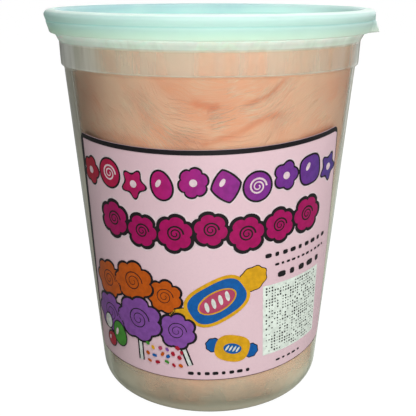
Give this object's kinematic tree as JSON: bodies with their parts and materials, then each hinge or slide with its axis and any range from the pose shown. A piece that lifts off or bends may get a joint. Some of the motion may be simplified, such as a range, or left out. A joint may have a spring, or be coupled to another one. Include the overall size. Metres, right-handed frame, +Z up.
{
  "type": "lidded tub of cotton candy",
  "caption": "Round tapered clear plastic tub packed full of pink cotton candy, with a push-down lid and a wrap label.",
  "frame": {"origin": "on the tub's axis, on the surface that it stands on", "axes": "+Z up along the tub's axis, label facing -Y, the lid's peel tab at +X"},
  "size_m": [0.1217, 0.12, 0.146],
  "materials": {
    "tub": "clear, slightly milky moulded plastic",
    "lid": "milky pale mint moulded plastic",
    "cotton_candy": "soft spun-sugar fibres, pressed into folds",
    "label": "satin printed paper"
  },
  "bodies": {
    "root": {"tub": "tub", "lid": "lid", "cotton_candy": "cotton_candy", "label": "label"}
  },
  "joints": []
}
